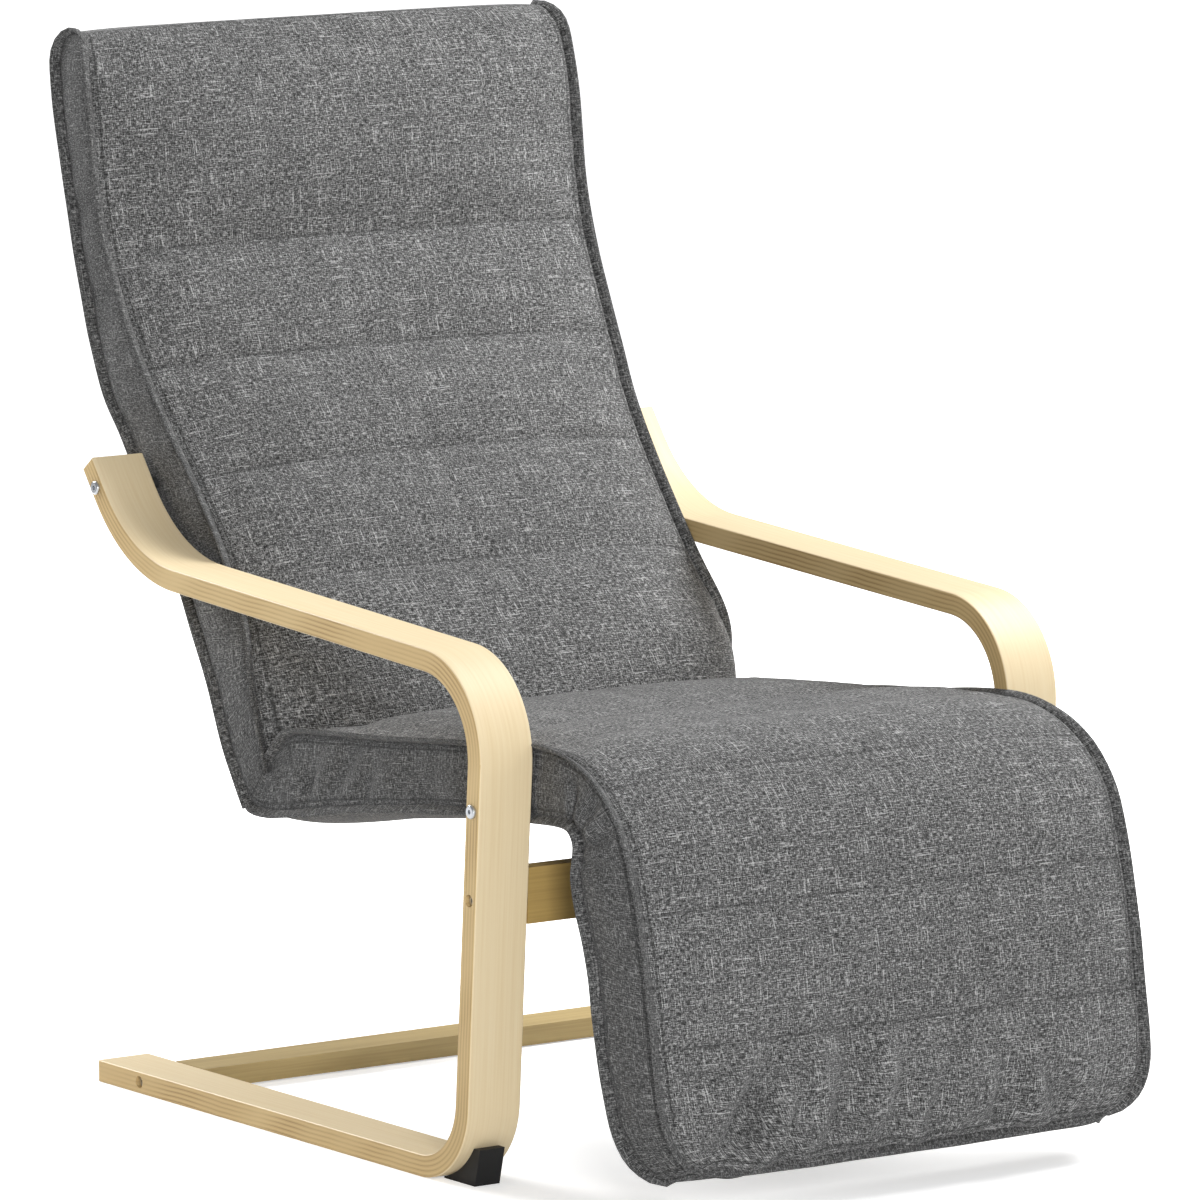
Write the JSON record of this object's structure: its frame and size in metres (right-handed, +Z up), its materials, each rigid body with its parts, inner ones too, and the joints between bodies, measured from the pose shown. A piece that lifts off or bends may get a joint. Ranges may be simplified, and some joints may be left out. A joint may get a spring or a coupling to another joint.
{
  "type": "recliner",
  "caption": "Bentwood lounge recliner with plywood side frames, a quilted fabric seat and back, and a padded footrest that hinges up at the seat's front edge.",
  "frame": {"origin": "middle of the chair's bounding box in plan, on the floor", "axes": "+X towards the sitter's left, -Y the way the sitter faces, +Z up"},
  "size_m": [0.6764, 1.0474, 1.0263],
  "materials": {
    "birch_plywood": "clear satin lacquer over birch veneer",
    "inner_plywood": "sanded birch plywood",
    "slat_wood": "sanded birch plywood",
    "foot_plastic": "moulded black",
    "spacer_plastic": "moulded black",
    "washer_plastic": "moulded natural nylon",
    "zinc_steel": "zinc plated",
    "hinge_steel": "zinc plated pressed steel",
    "cover_fabric": "charcoal melange linen-look weave, quilted"
  },
  "bodies": {
    "chair": {"back_cushion": "cover_fabric", "back_slat_1": "slat_wood", "back_slat_2": "slat_wood", "back_slat_3": "slat_wood", "back_slat_4": "slat_wood", "back_slat_5": "slat_wood", "barrel_nuts": "zinc_steel", "foot_screws": "zinc_steel", "front_edge_pad": "cover_fabric", "front_foot_left": "foot_plastic", "front_foot_right": "foot_plastic", "front_stretcher": "birch_plywood", "hinge_friction_washer_left": "washer_plastic", "hinge_friction_washer_right": "washer_plastic", "hinge_pivot_left": "hinge_steel", "hinge_pivot_right": "hinge_steel", "hinge_seat_arm_left": "hinge_steel", "hinge_seat_arm_right": "hinge_steel", "hinge_seat_screws": "zinc_steel", "rail_bolts": "zinc_steel", "rail_spacers": "spacer_plastic", "rear_stretcher": "birch_plywood", "seat_back_rail_left": "inner_plywood", "seat_back_rail_right": "inner_plywood", "seat_cushion": "cover_fabric", "seat_slat_1": "slat_wood", "seat_slat_2": "slat_wood", "seat_slat_3": "slat_wood", "side_frame_left": "birch_plywood", "side_frame_right": "birch_plywood", "slat_screws": "zinc_steel", "stretcher_bolts": "zinc_steel"},
    "footrest": {"footrest_cushion": "cover_fabric", "footrest_rail_left": "inner_plywood", "footrest_rail_right": "inner_plywood", "footrest_slat_1": "slat_wood", "footrest_slat_2": "slat_wood", "footrest_slat_3": "slat_wood", "footrest_slat_screws": "zinc_steel", "hinge_footrest_arm_left": "hinge_steel", "hinge_footrest_arm_right": "hinge_steel", "hinge_footrest_screws": "zinc_steel"}
  },
  "joints": [
    {"name": "footrest_hinge", "type": "hinge", "parent": "chair", "child": "footrest", "pos_m": [0, -0.37598, 0.36966], "axis": [-1, 0, 0], "range_deg": [0, 75], "deforming": ["front_edge_pad"]}
  ]
}
